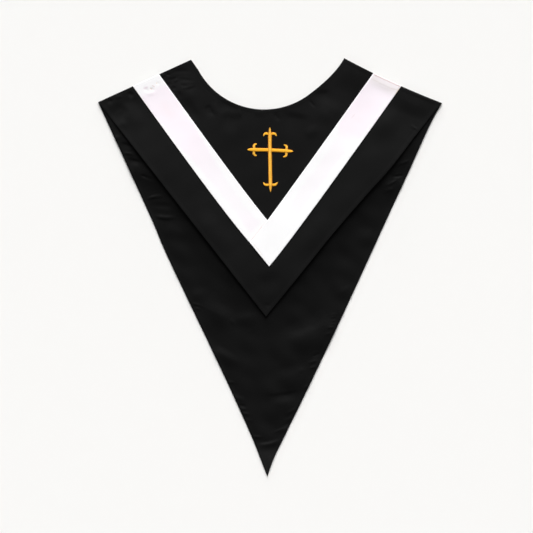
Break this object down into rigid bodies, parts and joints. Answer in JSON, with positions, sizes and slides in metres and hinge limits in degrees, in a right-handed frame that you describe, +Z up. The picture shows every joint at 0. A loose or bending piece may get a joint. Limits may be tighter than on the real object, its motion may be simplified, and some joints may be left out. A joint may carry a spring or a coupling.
{
  "type": "choir stole",
  "caption": "V-shaped choir stole laid flat: a short front panel with white V bands and a gold embroidered cross lies on a longer pointed back panel.",
  "frame": {"origin": "on the surface under the middle of the laid stole's bounding box", "axes": "+X to the viewer's right across the shoulders, +Y from the back panel's point towards the neck, +Z up off the surface"},
  "size_m": [0.5414, 0.6588, 0.0108],
  "materials": {
    "black_satin": "soft satin weave, low sheen, bagged-out pressed edges",
    "white_satin": "smooth white satin with a faint pinkish cast, topstitched edges",
    "gold_thread": "glossy rayon satin stitch, golden orange"
  },
  "bodies": {
    "root": {"back_panel": "black_satin", "front_panel": "black_satin", "white_band_left": "white_satin", "white_band_right": "white_satin", "embroidered_cross": "gold_thread"}
  },
  "joints": []
}
